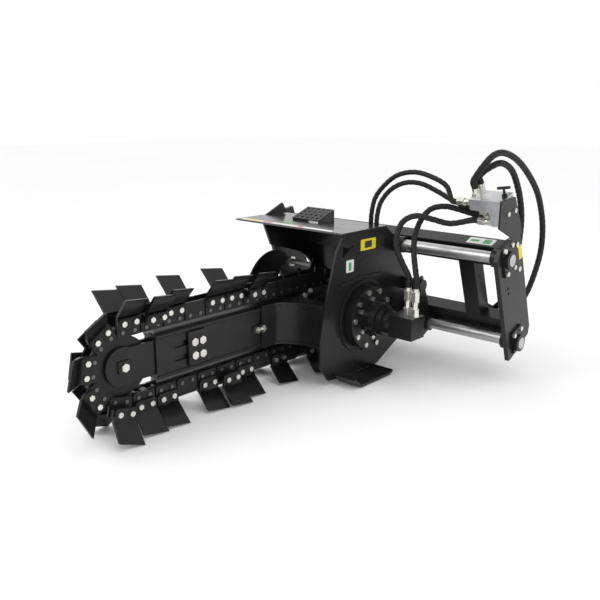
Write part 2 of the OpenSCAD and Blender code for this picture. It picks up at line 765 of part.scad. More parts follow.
// Auger: a tube with one helical flight, wound in flat steps round it
module auger() {
    steps = 30;
    color(paint) at_drive() {
        tube_x(auger_left, auger_len, auger_tube_d, drive_shaft_d);
        translate([auger_left, 0, 0]) rotate([0, 90, 0]) difference() {
            auger_flight(steps);
            translate([0, 0, -1]) cylinder(d = auger_tube_d, h = auger_len + 2);
        }
    }
}
// The flight is a sheet swept round the tube: inner and outer helix, top and bottom faces
module auger_flight(steps) {
    turn = 360 / steps;
    rise = (auger_len - flight_t) / steps;
    r0 = auger_tube_d / 2 - 4;
    pts = [for (i = [0:steps]) let (a = i * turn + 150, z = i * rise)
        each [[r0 * cos(a), r0 * sin(a), z], [auger_r * cos(a), auger_r * sin(a), z],
            [auger_r * cos(a), auger_r * sin(a), z + flight_t], [r0 * cos(a), r0 * sin(a),
                z + flight_t]]];
    sides = [for (i = [0:steps - 1], k = [0:3]) let (a = 4 * i + k, b = 4 * i + (k + 1) % 4)
        each [[a, b, b + 4], [a, b + 4, a + 4]]];
    polyhedron(points = pts, faces = concat([[3, 2, 1, 0]], [[4 * steps, 4 * steps + 1, 4 * steps + 2,
        4 * steps + 3]], sides));
}

/* Chain: outer bars on odd links, inner bars on even links */

odd_links = [for (i = [1:2:pin_count - 1]) i];
even_links = [for (i = [0:2:pin_count - 2]) i];

module outer_bar(x) {
    half = bar_len / 2;
    difference() {
        plate_x(x, bar_t, [[-half, -9], [-half + 5, -bar_in], [half - 5, -bar_in], [half, -9],
            [half, bar_out], [-half, bar_out]]);
        for (y = [-chain_pitch / 2, chain_pitch / 2]) translate([0, y, 0]) rod_x(x - 1, bar_t + 2,
            pin_d + 2 * run_gap);
    }
}
module outer_bars() {
    color(paint) for (i = odd_links) on_link(i) for (s = [-1, 1])
        outer_bar(s > 0 ? outer_bar_x : -outer_bar_x - bar_t);
}
module inner_bars() {
    len = chain_pitch + 40;
    color(paint) for (i = even_links) on_link(i) for (s = [-1, 1]) difference() {
        translate([s > 0 ? inner_bar_x : -inner_bar_x - bar_t, 0, 0]) {
            translate([0, -chain_pitch / 2, -20]) cube([bar_t, chain_pitch, 40]);
            for (y = [-chain_pitch / 2, chain_pitch / 2]) translate([0, y, 0]) rod_x(0, bar_t, 40);
        }
        for (y = [-chain_pitch / 2, chain_pitch / 2]) translate([0, y, 0]) rod_x(-60, 120,
            pin_d + 2 * run_gap);
    }
}
module chain_rollers() {
    color(steel) for (i = [0:pin_count - 1]) translate([boom_x, pin_at(i)[0], pin_at(i)[1]]) {
        rod_x(-bar_face_x - 3, 2 * bar_face_x + 6, pin_d);
        rod_x(-roller_w / 2, roller_w, roller_d);
    }
}

// Teeth: each entry is [outer link, 1 if it stands one step further out]; links count in the direction
// of travel
near_teeth = [[4, 1], [5, 0], [6, 0], [8, 0], [9, 1], [10, 0], [11, 0], [12, 0], [13, 0], [14, 1], [15,
    0], [16, 0],
    [18, 0], [19, 1], [20, 0], [22, 0], [24, 1], [25, 0], [26, 0], [28, 0]];
far_teeth = [[5, 0], [7, 1], [9, 0], [10, 0], [14, 0], [15, 0], [17, 1], [19, 0], [20, 0], [22, 1], [24,
    0],
    [25, 0], [27, 1]];
tooth_base_in = 12;
tooth_bend = 66;
module each_tooth() {
    for (t = near_teeth) if (2 * t[0] + 1 < pin_count) on_link(2 * t[0] + 1) {
        $tooth_step = t[1] * tooth_step;
        children();
    }
    for (t = far_teeth) if (2 * t[0] + 1 < pin_count) on_link(2 * t[0] + 1) mirror([1, 0, 0]) {
        $tooth_step = t[1] * tooth_step;
        children();
    }
}
module tooth() {
    x = bar_face_x + $tooth_step;
    tip = tooth_reach - pitch_r;
    half = tooth_w / 2;
    bend = [x, 0, tooth_bend];
    union() {
        plate_x(x, tooth_t, [[-half, tooth_base_in + 10], [-half + 10, tooth_base_in], [half - 10,
            tooth_base_in],
            [half, tooth_base_in + 10], [half, tooth_bend], [-half, tooth_bend]]);
        intersection() {
            translate(bend) rotate([0, tooth_flare, 0]) translate([0, 0, -6])
                plate_x(0, tooth_t, [[-half, 0], [half, 0], [half + 4, 200], [-half - 6, 200]]);
            plate_x(x - 40, 200, [[-half - 20, tooth_bend - 20], [half + 20, tooth_bend - 20],
                [half + 20, tip - tooth_rake], [half, tip - tooth_rake], [-half - 4, tip], [-half - 20,
                    tip]]);
        }
    }
}
module teeth() {
    color(paint) each_tooth() difference() {
        tooth();
        for (y = [-chain_pitch / 2, chain_pitch / 2]) translate([0, y, 34])
            rod_x(bar_face_x + $tooth_step - 1, tooth_t + 2, 13);
    }
}
module tooth_spacers() {
    color(paint) each_tooth() if ($tooth_step > 0) difference() {
        translate([bar_face_x, -42, 20]) cube([$tooth_step, 84, 30]);
        for (y = [-chain_pitch / 2, chain_pitch / 2]) translate([0, y, 34]) rod_x(bar_face_x - 1,
            $tooth_step + 2, 13);
    }
}
module tooth_bolts() {
    color(zinc) each_tooth() for (y = [-chain_pitch / 2, chain_pitch / 2]) translate([0, y, 34]) {
        rod_x(bar_face_x, $tooth_step + tooth_t, 12);
        hex_x(bar_face_x + $tooth_step + tooth_t, 8, 20);
    }
}

/* Hoses: each is a round tube swept along points chosen by hand */

hose_sides = 10;
function unit(v) = v / norm(v);
module hose(route, d) {
    last = len(route) - 1;
    rings = [for (i = [0:last]) let (
            t = unit(route[min(i + 1, last)] - route[max(i - 1, 0)]),
            side = unit(cross(t, abs(t[1]) > 0.9 ? [1, 0, 0] : [0, 1, 0])),
            up = cross(side, t))
        for (k = [0:hose_sides - 1]) let (a = k * 360 / hose_sides)
            route[i] + d / 2 * (cos(a) * side + sin(a) * up)];
    skin = [for (i = [0:last - 1], k = [0:hose_sides - 1])
        let (a = i * hose_sides + k, b = i * hose_sides + (k + 1) % hose_sides)
            each [[a, a + hose_sides, b + hose_sides], [a, b + hose_sides, b]]];
    polyhedron(points = rings, faces = concat([[for (k = [0:hose_sides - 1]) k]],
        [[for (k = [hose_sides - 1:-1:0]) last * hose_sides + k]], skin));
}

cylinder_hose_d = 22;
motor_hose_d = 25;
supply_hose_d = 27;
coupler_x = 440;
coupler_y = 966;
coupler_z = -50;
end_left = valve_x - fitting_len;
port_u = cyl_u + cyl_d / 2 + 12;
function side_port(k) = lean_point(side_ports[k][0], side_ports[k][1]);
function at_port(k, out) = [end_left - side_ports[k][2] - out, side_port(k)[0], side_port(k)[1]];
function at_barrel(x, out) = let (p = lean_point(cyl_v, port_u + out)) [x, p[0], p[1]];
function at_motor(s, out) = [port_x + s * port_dx, drive_y, port_top + out];
function at_top(k, out) = let (p = lean_point(valve_v + top_ports[k],
    valve_u + valve_h + top_fitting_h + out))
    [top_port_x, p[0], p[1]];
hose_left = [at_port(0, 0), at_port(0, 30), [380, 632, 583], [297, 632, 618], [215, 632, 630], [131,
    631, 612],
    [65, 628, 565], [20, 620, 505], [6, 613, 435], [5, 611, 365], [0, 613, 292], [-16, 638, 232], [-60,
        688, 192],
    [-125, 708, 173], [-200, 710, 173], at_barrel(left_port_x + 18, 52), at_barrel(left_port_x, 30),
    at_barrel(left_port_x, 0)];
hose_right = [at_port(1, 0), at_port(1, 30), [400, 664, 518], [320, 662, 552], [240, 656, 580], [165,
    645, 580],
    [98, 634, 548], [52, 622, 490], [38, 613, 425], [38, 611, 355], [37, 613, 290], [34, 638, 236],
    [right_port_x, 690, 204], at_barrel(right_port_x, 30), at_barrel(right_port_x, 0)];
hose_front = [at_port(2, 0), at_port(2, 30), [418, 618, 428], [360, 570, 445], [306, 528, 459], [268,
    492, 438],
    [258, 462, 390], [272, 440, 330], [306, 436, 270], at_motor(-1, 45), at_motor(-1, 0)];
hose_rear = [at_port(3, 0), at_port(3, 30), [420, 670, 484], [370, 642, 494], [322, 615, 481], [300,
    578, 440],
    [302, 530, 376], [330, 484, 308], [366, 448, 240], at_motor(1, 45), at_motor(1, 0)];
long_route = [at_top(0, 0), at_top(0, 35), [578, 596, 690], [590, 650, 722], [597, 720, 722], [600, 820,
    690],
    [600, 930, 626], [597, 1040, 538], [592, 1115, 433], [588, 1150, 338], [582, 1158, 248], [572, 1140,
        158],
    [560, 1100, 68], [538, 1056, 6], [508, 1008, -34], [coupler_x + 34, coupler_y, coupler_z],
        [coupler_x, coupler_y, coupler_z]];
short_route = [at_top(1, 0), at_top(1, 35), [580, 660, 678], [592, 720, 680], [594, 800, 640],
    [590, 880, 545], [588, 922, 440], [580, 935, 330], [568, 940, 235], [552, 945, 145], [522, 950, 65],
    [coupler_x + 34, coupler_y - 12, coupler_z + 52], [coupler_x, coupler_y - 12, coupler_z + 52]];
// Rounds a route that is counted from the drive axle's height, and leaves its fitting ends as they are
function raised(route, ends) = [for (i = [0:len(route) - 1])
    i < ends[0] || i >= len(route) - ends[1] ? route[i] : route[i] + [0, 0, drive_z]];
module cylinder_hoses() {
    color(rubber) hose(raised(hose_right, [2, 2]), cylinder_hose_d);
    color(rubber) hose(raised(hose_left, [2, 3]), cylinder_hose_d);
}
module motor_hoses() {
    color(rubber) hose(raised(hose_front, [2, 2]), motor_hose_d);
    color(rubber) hose(raised(hose_rear, [2, 2]), motor_hose_d);
}
module supply_hose_long() { color(rubber) hose(raised(long_route, [2, 0]), supply_hose_d); }
module supply_hose_short() { color(rubber) hose(raised(short_route, [2, 0]), supply_hose_d); }
module coupler(y, z) {
    color(steel) translate([0, y, drive_z + z]) {
        hex_x(coupler_x - 26, 26, 34);
        rod_x(coupler_x - 50, 24, 30);
        rod_x(coupler_x - 96, 46, 42);
    }
}
module coupler_long() { coupler(coupler_y, coupler_z); }
module coupler_short() { coupler(coupler_y - 12, coupler_z + 52); }

end_plate_left();
end_plate_right();
upper_beam();
lower_beam();
uprights();
corner_gussets();
upper_shaft();
lower_shaft();
shaft_collars();
shaft_clamps();
clamp_screws();
hitch_lip();
latch_plate();
valve_bracket();
bracket_bolts();
valve_block();
valve_fittings();
flow_knob();
shift_rod();
rod_nut();
side_plate();
side_ribs();
carriage_plate_left();
carriage_plate_right();
deflector();
rear_panel();
upper_slide_tube();
lower_slide_tube();
slide_bushes();
cylinder_barrel();
lifting_fin();
step_tread();
boom_bracket();
skid_shoe();
scraper();
gearbox();
gearbox_bolts();
motor();
motor_fittings();
boom_tube();
guide_bars();
tension_screw();
nose_fork();
clamp_plates();
clamp_bolts();
nose_axle();
axle_keepers();
nose_idler();
sprocket();
drive_shaft();
auger();
outer_bars();
inner_bars();
chain_rollers();
teeth();
tooth_spacers();
tooth_bolts();
cylinder_hoses();
motor_hoses();
supply_hose_long();
supply_hose_short();
coupler_long();
coupler_short();
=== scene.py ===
"""Looks of a side-shift chain trencher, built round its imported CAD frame."""

import json
import logging
import math
from dataclasses import dataclass, field
from enum import Enum
from typing import Any, Callable, Sequence

import bmesh
import bpy
import numpy as np
from mathutils import Matrix, Vector


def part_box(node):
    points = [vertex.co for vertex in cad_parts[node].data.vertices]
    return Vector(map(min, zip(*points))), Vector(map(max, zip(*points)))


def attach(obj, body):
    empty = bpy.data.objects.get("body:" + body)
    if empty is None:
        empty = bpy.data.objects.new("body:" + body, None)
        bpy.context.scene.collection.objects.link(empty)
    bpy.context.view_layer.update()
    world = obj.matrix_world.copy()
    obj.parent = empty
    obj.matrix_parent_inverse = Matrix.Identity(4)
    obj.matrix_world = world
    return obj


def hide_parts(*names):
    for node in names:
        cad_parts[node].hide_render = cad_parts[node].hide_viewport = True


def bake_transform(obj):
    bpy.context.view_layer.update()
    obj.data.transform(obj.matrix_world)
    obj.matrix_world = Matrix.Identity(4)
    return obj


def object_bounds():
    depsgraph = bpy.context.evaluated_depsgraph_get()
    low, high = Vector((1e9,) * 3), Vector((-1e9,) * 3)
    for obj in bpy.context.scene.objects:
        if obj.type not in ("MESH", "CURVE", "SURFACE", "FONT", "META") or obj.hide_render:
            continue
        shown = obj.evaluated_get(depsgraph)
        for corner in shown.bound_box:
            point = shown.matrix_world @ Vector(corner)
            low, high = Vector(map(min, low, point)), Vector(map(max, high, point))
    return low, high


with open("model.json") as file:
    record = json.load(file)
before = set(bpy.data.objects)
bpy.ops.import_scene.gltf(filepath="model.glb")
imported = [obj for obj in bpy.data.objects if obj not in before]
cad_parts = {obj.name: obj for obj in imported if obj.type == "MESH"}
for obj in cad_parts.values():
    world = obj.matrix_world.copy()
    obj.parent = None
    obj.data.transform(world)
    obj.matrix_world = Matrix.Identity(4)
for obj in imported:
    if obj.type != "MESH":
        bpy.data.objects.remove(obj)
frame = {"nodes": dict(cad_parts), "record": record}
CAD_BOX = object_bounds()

LOG = logging.getLogger("trencher")
MM = 0.001
Array = np.ndarray
Point = Sequence[float]
Socket = str | int
LEAN = math.radians(20)  # forward lean of the side-shift frame


# ---------------------------------------------------------------- materials


class Nodes:
    """A small wrapper that adds nodes to one material and joins them."""

    def __init__(self, name: str) -> None:
        """Starts an empty node material called name."""
        self.material = bpy.data.materials.new(name)
        self.material.use_nodes = True
        self.tree = self.material.node_tree
        self.tree.nodes.clear()
        self.output = self.add("ShaderNodeOutputMaterial")
        self.shader = self.add("ShaderNodeBsdfPrincipled")
        self.join(self.shader, "BSDF", self.output, "Surface")
        self.coords = self.add("ShaderNodeTexCoord")

    def add(self, kind: str, **settings: Any) -> bpy.types.Node:
        """Adds a node of a kind and sets its properties."""
        node = self.tree.nodes.new(kind)
        for key, value in settings.items():
            setattr(node, key, value)
        return node

    def join(self, source: bpy.types.Node, out: Socket, target: bpy.types.Node, into: Socket) -> None:
        """Links one socket to another."""
        self.tree.links.new(source.outputs[out], target.inputs[into])

    def stretched(self, scale: Point, uv: bool = False) -> bpy.types.Node:
        """Object (or UV) coordinates, scaled.

        Args:
            scale: the pattern's repeats per metre along each axis.
            uv: reads the piece's UV map instead of Object coordinates.

        Returns:
            The Mapping node.
        """
        mapping = self.add("ShaderNodeMapping")
        mapping.inputs["Scale"].default_value = scale
        self.join(self.coords, "UV" if uv else "Object", mapping, "Vector")
        return mapping

    def noise(
        self, scale: Point, detail: float = 3.0, rough: float = 0.5, uv: bool = False
    ) -> bpy.types.Node:
        """Noise with its own scale along each axis; its value is the Fac output."""
        node = self.add("ShaderNodeTexNoise")
        node.inputs["Scale"].default_value = 1.0
        node.inputs["Detail"].default_value = detail
        node.inputs["Roughness"].default_value = rough
        self.join(self.stretched(scale, uv), "Vector", node, "Vector")
        return node

    def ramp(
        self, source: bpy.types.Node, out: Socket, stops: Sequence[tuple[float, Point]]
    ) -> bpy.types.Node:
        """A colour ramp over a value.

        Args:
            source: the node the value comes from.
            out: the socket of that node.
            stops: pairs of place and linear RGB colour.

        Returns:
            The ramp node.
        """
        node = self.add("ShaderNodeValToRGB")
        elements = node.color_ramp.elements
        while len(elements) < len(stops):
            elements.new(0.5)
        for element, (place, colour) in zip(elements, stops):
            element.position = place
            element.color = (*colour, 1.0)
        self.join(source, out, node, "Fac")
        return node

    def bump(self, source: bpy.types.Node, out: Socket, height: float) -> bpy.types.Node:
        """A bump of a height in metres, on the material's shader."""
        node = self.add("ShaderNodeBump")
        node.inputs["Strength"].default_value = 1.0
        node.inputs["Distance"].default_value = height
        self.join(source, out, node, "Height")
        self.join(node, "Normal", self.shader, "Normal")
        return node


@dataclass(frozen=True)
class Paint:
    """Semi-gloss powder coat: orange peel, slight mottling, dust in broad soft patches."""

    name: str
    colour: tuple[float, float, float]
    rough: float = 0.34
    peel: float = 0.00012
    scuff: float = 0.35
    shine: float = 0.32

    def build(self) -> bpy.types.Material:
        """Makes the material: mottled colour, patchy roughness and a fine peel in the bump."""
        nodes = Nodes(self.name)
        broad = nodes.noise((5.0, 5.0, 5.0), 4.0, 0.6)
        dark = tuple(0.8 * c for c in self.colour)
        light = tuple(min(1.0, 1.35 * c + 0.002) for c in self.colour)
        tint = nodes.ramp(broad, "Fac", ((0.3, dark), (0.7, light)))
        nodes.join(tint, "Color", nodes.shader, "Base Color")
        patch = nodes.noise((14.0, 14.0, 14.0), 6.0, 0.65)
        low, high = self.rough, self.rough + 0.2 * self.scuff
        gloss = nodes.ramp(patch, "Fac", ((0.35, (low,) * 3), (0.75, (high,) * 3)))
        nodes.join(gloss, "Color", nodes.shader, "Roughness")
        peel = nodes.noise((260.0, 260.0, 260.0), 2.0, 0.5)
        nodes.bump(peel, "Fac", self.peel)
        nodes.shader.inputs["Specular IOR Level"].default_value = self.shine
        return nodes.material


@dataclass(frozen=True)
class Metal:
    """Bare or plated metal: fine grain along an axis, cloudy colour and uneven polish."""

    name: str
    colour: tuple[float, float, float]
    rough: float
    grain: tuple[float, float, float] = (200.0, 200.0, 200.0)
    depth: float = 0.00003

    def build(self) -> bpy.types.Material:
        """Makes the material: grain in the bump and roughness, clouds in the colour."""
        nodes = Nodes(self.name)
        clouds = nodes.noise((30.0, 30.0, 30.0), 4.0, 0.6)
        dark = tuple(0.78 * c for c in self.colour)
        tint = nodes.ramp(clouds, "Fac", ((0.3, dark), (0.65, self.colour)))
        nodes.join(tint, "Color", nodes.shader, "Base Color")
        nodes.shader.inputs["Metallic"].default_value = 1.0
        grain = nodes.noise(self.grain, 4.0, 0.6)
        low, high = max(0.04, self.rough - 0.06), self.rough + 0.1
        gloss = nodes.ramp(grain, "Fac", ((0.3, (low,) * 3), (0.7, (high,) * 3)))
        nodes.join(gloss, "Color", nodes.shader, "Roughness")
        nodes.bump(grain, "Fac", self.depth)
        return nodes.material


@dataclass(frozen=True)
class Rubber:
    """Matt black hose cover: fine mould grain, a chalky bloom in patches."""

    name: str
    colour: tuple[float, float, float] = (0.007, 0.007, 0.0075)
    rough: float = 0.46

    def build(self) -> bpy.types.Material:
        """Makes the material from the piece's own UV map, so the grain follows the hose."""
        nodes = Nodes(self.name)
        bloom = nodes.noise((9.0, 40.0, 1.0), 4.0, 0.6, uv=True)
        light = tuple(1.6 * c for c in self.colour)
        tint = nodes.ramp(bloom, "Fac", ((0.4, self.colour), (0.75, light)))
        nodes.join(tint, "Color", nodes.shader, "Base Color")
        gloss = nodes.ramp(bloom, "Fac", ((0.3, (self.rough,) * 3), (0.8, (self.rough + 0.16,) * 3)))
        nodes.join(gloss, "Color", nodes.shader, "Roughness")
        nodes.shader.inputs["Specular IOR Level"].default_value = 0.3
        grain = nodes.noise((60.0, 700.0, 1.0), 2.0, 0.5, uv=True)
        nodes.bump(grain, "Fac", 0.00008)
        return nodes.material


@dataclass(frozen=True)
class Label:
    """Printed vinyl: one flat colour with a faint texture and a soft sheen."""

    name: str
    colour: tuple[float, float, float]

    def build(self) -> bpy.types.Material:
        """Makes the material: a slight unevenness in colour and roughness."""
        nodes = Nodes(self.name)
        cloud = nodes.noise((60.0, 60.0, 60.0), 3.0, 0.5)
        dark = tuple(0.9 * c for c in self.colour)
        tint = nodes.ramp(cloud, "Fac", ((0.3, dark), (0.7, self.colour)))
        nodes.join(tint, "Color", nodes.shader, "Base Color")
        gloss = nodes.ramp(cloud, "Fac", ((0.3, (0.3,) * 3), (0.7, (0.42,) * 3)))
        nodes.join(gloss, "Color", nodes.shader, "Roughness")
        return nodes.material


class Finish(Enum):
    """Every finish on the machine, each built once on first use."""

    PAINT = Paint("black_paint", (0.0085, 0.0085, 0.0088), rough=0.27)
    CHAIN_PAINT = Paint("chain_paint", (0.0048, 0.0048, 0.005), rough=0.3, peel=0.0002, scuff=0.8)
    RUBBED_PAINT = Paint("rubbed_paint", (0.007, 0.007, 0.0073), rough=0.16, scuff=0.4, shine=1.0)
    CHROME = Metal("shaft_steel", (0.60, 0.60, 0.61), 0.36, (2.0, 700.0, 700.0), 0.000001)
    ZINC = Metal("zinc", (0.80, 0.79, 0.74), 0.27)
    VALVE = Metal("valve_metal", (0.66, 0.67, 0.68), 0.33, (40.0, 900.0, 40.0), 0.00002)
    DARK_STEEL = Metal("chain_steel", (0.16, 0.155, 0.15), 0.36, (120.0, 120.0, 120.0), 0.00006)
    BRONZE = Metal("bush_bronze", (0.09, 0.065, 0.035), 0.42)
    KNOB = Paint("knob_plastic", (0.006, 0.006, 0.006), rough=0.5, peel=0.00005)
    HOSE = Rubber("hose_rubber")
    YELLOW = Label("label_yellow", (0.85, 0.68, 0.02))
    WHITE = Label("label_white", (0.78, 0.78, 0.76))
    GREEN = Label("label_green", (0.05, 0.32, 0.10))
    RED = Label("label_red", (0.50, 0.04, 0.03))
    DARK_MARK = Label("label_dark", (0.03, 0.03, 0.02))

    def material(self) -> bpy.types.Material:
        """The finish's material, made when it is first asked for."""
        found = bpy.data.materials.get("tr_" + self.value.name)
        if found is None:
            found = self.value.build()
            found.name = "tr_" + self.value.name
        return found


SLOT_FINISH = {
    "black_paint": Finish.PAINT,
    "chain_paint": Finish.CHAIN_PAINT,
    "shaft_steel": Finish.CHROME,
    "zinc": Finish.ZINC,
    "valve_metal": Finish.VALVE,
    "chain_steel": Finish.DARK_STEEL,
    "bush_bronze": Finish.BRONZE,
    "knob_plastic": Finish.KNOB,
    "hose_rubber": Finish.HOSE,
}
# Nodes whose surface differs from the rest of their slot: a painted shaft, a shift rod in the darker chain
# steel instead of chrome, and polished paint
NODE_FINISH = {
    "drive_shaft": Finish.PAINT,
    "shift_rod": Finish.DARK_STEEL,
    "deflector": Finish.RUBBED_PAINT,
    "guide_bars": Finish.RUBBED_PAINT,
}
LABEL_SLOT = "black_paint"


# ---------------------------------------------------------------- surfaces


def grid_faces(rows: int, columns: int) -> Array:
    """Quads of a closed band of rings whose points are numbered ring by ring.

    Args:
        rows: the number of rings.
        columns: points round each ring, which closes on itself.

    Returns:
        An array of four point numbers per face: each face joins a point, its neighbour across, and
        the same two on the next ring.
    """
    i = np.arange(rows - 1)[:, None]
    j = np.arange(columns)[None, :]
    k = (j + 1) % columns
    here, ahead = i * columns, (i + 1) * columns
    quads = np.stack([here + j, here + k, ahead + k, ahead + j], axis=-1)
    return quads.reshape(-1, 4)


def unit(v: Array) -> Array:
    """Vectors of length one along the last axis."""
    return v / np.maximum(np.linalg.norm(v, axis=-1, keepdims=True), 1e-12)


def smooth_path(points: Sequence[Point], step: float) -> Array:
    """A smooth curve through points, sampled evenly.

    Each stretch is the Catmull-Rom cubic of its two ends and their neighbours; the samples are then
    spaced evenly along the length.

    Args:
        points: places in metres.
        step: distance between samples.

    Returns:
        An array of places, one per row.
    """
    p = np.asarray(points, float)
    p = np.vstack([2 * p[0] - p[1], p, 2 * p[-1] - p[-2]])
    t = np.linspace(0, 1, 24, endpoint=False)[None, :, None]
    a, b, c, d = (p[k : len(p) - 3 + k][:, None, :] for k in range(4))
    curve = 0.5 * (2 * b + (c - a) * t + (2 * a - 5 * b + 4 * c - d) * t**2 + (3 * b - a - 3 * c + d) * t**3)
    curve = np.vstack([curve.reshape(-1, 3), p[-2]])
    along = np.concatenate([[0], np.cumsum(np.linalg.norm(np.diff(curve, axis=0), axis=1))])
    even = np.linspace(0, along[-1], max(2, int(round(along[-1] / step)) + 1))
    return np.stack([np.interp(even, along, curve[:, k]) for k in range(3)], axis=1)


def path_length(path: Array) -> float:
    """The length of a line of points."""
    return float(np.linalg.norm(np.diff(path, axis=0), axis=1).sum())


def carried_frames(path: Array) -> tuple[Array, Array]:
    """Two directions square to a path, carried along it without twist.

    Args:
        path: places along the line.

    Returns:
        Two arrays of unit vectors, one pair per place.
    """
    tangent = unit(np.gradient(path, axis=0))
    start = np.cross(tangent[0], (0.0, 0.0, 1.0))
    if np.linalg.norm(start) < 0.1:
        start = np.cross(tangent[0], (1.0, 0.0, 0.0))
    side = np.empty_like(path)
    side[0] = unit(start)
    for k in range(1, len(path)):
        side[k] = side[k - 1] - tangent[k] * (side[k - 1] @ tangent[k])
        side[k] = unit(side[k])
    return side, np.cross(tangent, side)


def new_piece(
    name: str, points: Array, faces: Sequence[Any], finish: Finish, smooth: bool = True
) -> bpy.types.Object:
    """A mesh object at the origin from points and faces.

    Args:
        name: the piece's name.
        points: places in metres, in the row frame.
        faces: lists of point numbers, counter-clockwise from outside.
        finish: the piece's finish.
        smooth: shades smooth, with sharp edges kept above 35 degrees.

    Returns:
        The object, linked into the scene.
    """
    mesh = bpy.data.meshes.new(name)
    mesh.from_pydata(np.asarray(points).tolist(), [], [list(map(int, f)) for f in faces])
    mesh.validate()
    if smooth:
        mesh.shade_smooth()
        mesh.set_sharp_from_angle(angle=math.radians(35))
    mesh.materials.append(finish.material())
    obj = bpy.data.objects.new(name, mesh)
    bpy.context.scene.collection.objects.link(obj)
    return obj


def outward(obj: bpy.types.Object) -> bpy.types.Object:
    """Merges doubled points and turns every face outwards."""
    work = bmesh.new()
    work.from_mesh(obj.data)
    bmesh.ops.remove_doubles(work, verts=work.verts, dist=1e-6)
    bmesh.ops.recalc_face_normals(work, faces=work.faces)
    work.to_mesh(obj.data)
    work.free()
    return obj


def place(obj: bpy.types.Object, body: str, slot: str) -> bpy.types.Object:
    """Rides a piece on a body and reports it."""
    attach(obj, body)
    LOG.info("%s on %s: %d faces", obj.name, body, len(obj.data.polygons))
    return obj


def swept_tube(
    path: Array, radius: Callable[[Array, Array], Array], sides: int
) -> tuple[Array, list[list[int]]]:
    """A closed tube along a path.

    A point at length s and angle a lies radius(s, a) from the path, along the carried side vector
    turned by a. Each end is closed by one flat face.

    Args:
        path: places along the middle.
        radius: gives the radius for arrays of length and angle.
        sides: points round each ring.

    Returns:
        The points, and the faces as lists of point numbers.
    """
    along = np.concatenate([[0], np.cumsum(np.linalg.norm(np.diff(path, axis=0), axis=1))])
    angle = np.linspace(0, 2 * math.pi, sides, endpoint=False)
    side, up = carried_frames(path)
    r = radius(along[:, None], angle[None, :])[..., None]
    ring = np.cos(angle)[None, :, None] * side[:, None, :] + np.sin(angle)[None, :, None] * up[:, None, :]
    points = (path[:, None, :] + r * ring).reshape(-1, 3)
    faces = grid_faces(len(path), sides).tolist()
    last = (len(path) - 1) * sides
    faces += [list(range(sides))[::-1], list(range(last, last + sides))]
    return points, faces


def add_length_uv(obj: bpy.types.Object, rows: int, columns: int, length: float) -> None:
    """A UV map for a swept tube: U is the turn round it, V the length in metres."""
    layer = obj.data.uv_layers.new(name="UVMap")
    index = np.empty(len(obj.data.loops), dtype=np.int32)
    obj.data.loops.foreach_get("vertex_index", index)
    uv = np.stack([(index % columns) / columns, (index // columns) / max(1, rows - 1) * length], axis=1)
    layer.data.foreach_set("uv", uv.astype(np.float32).ravel())


# ---------------------------------------------------------------- CAD nodes


@dataclass
class CarriedNodes:
    """Every CAD node that keeps its shape: a copy with eased edges, in its own finish."""

    easing: float = 1.2 * MM
    fine_easing: float = 0.5 * MM
    fine: frozenset[str] = frozenset(
        {"tooth_bolts", "clamp_screws", "bracket_bolts", "gearbox_bolts", "clamp_bolts", "chain_rollers",
         "tension_screw", "valve_fittings", "motor_fittings", "coupler_long", "coupler_short", "rod_nut",
         "inner_bars", "slide_bushes"}
    )
    plain: frozenset[str] = frozenset(
        {"upper_shaft", "lower_shaft", "shift_rod", "drive_shaft", "slide_bushes"}
    )
    replaced: frozenset[str] = frozenset(
        {"cylinder_hoses", "motor_hoses", "supply_hose_long", "supply_hose_short", "auger"}
    )
    slots: dict[str, str] = field(default_factory=dict)
    bodies: dict[str, str] = field(default_factory=dict)

    def __post_init__(self) -> None:
        """Reads each node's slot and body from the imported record."""
        record = frame["record"]
        self.slots = {part["node"]: part["material_slot"] for part in record["subparts"]}
        self.bodies = {n: body for body, names in record["behaviour"]["bodies"].items() for n in names}

    def build(self) -> None:
        """Dresses the plain nodes and replaces the rest with eased copies."""
        for name, node in frame["nodes"].items():
            if name in self.replaced:
                continue
            finish = NODE_FINISH.get(name, SLOT_FINISH[self.slots[name]])
            if name in self.plain:
                self.dress(node, finish)
            else:
                self.eased(name, node, finish)

    def dress(self, node: bpy.types.Object, finish: Finish) -> None:
        """Gives a CAD node its finish as it stands."""
        node.data.materials.clear()
        node.data.materials.append(finish.material())

    def eased(self, name: str, node: bpy.types.Object, finish: Finish) -> None:
        """Replaces a CAD node with a copy whose sharp edges are bevelled.

        Args:
            name: the node's name.
            node: the CAD object.
            finish: the copy's finish.
        """
        mesh = node.data.copy()
        work = bmesh.new()
        work.from_mesh(mesh)
        bmesh.ops.remove_doubles(work, verts=work.verts, dist=2e-6)
        bmesh.ops.dissolve_limit(
            work, angle_limit=math.radians(0.6), verts=work.verts, edges=work.edges, delimit=set()
        )
        work.to_mesh(mesh)
        work.free()
        mesh.shade_smooth()
        mesh.set_sharp_from_angle(angle=math.radians(32))
        mesh.materials.clear()
        mesh.materials.append(finish.material())
        copy = bpy.data.objects.new(name + "_eased", mesh)
        bpy.context.scene.collection.objects.link(copy)
        bevel = copy.modifiers.new("edges", "BEVEL")
        bevel.width = self.fine_easing if name in self.fine else self.easing
        bevel.segments = 1 if name in self.fine else 2
        bevel.limit_method = "ANGLE"
        bevel.angle_limit = math.radians(40)
        bevel.harden_normals = True
        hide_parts(name)
        place(copy, self.bodies[name], self.slots[name])


# ---------------------------------------------------------------- hoses


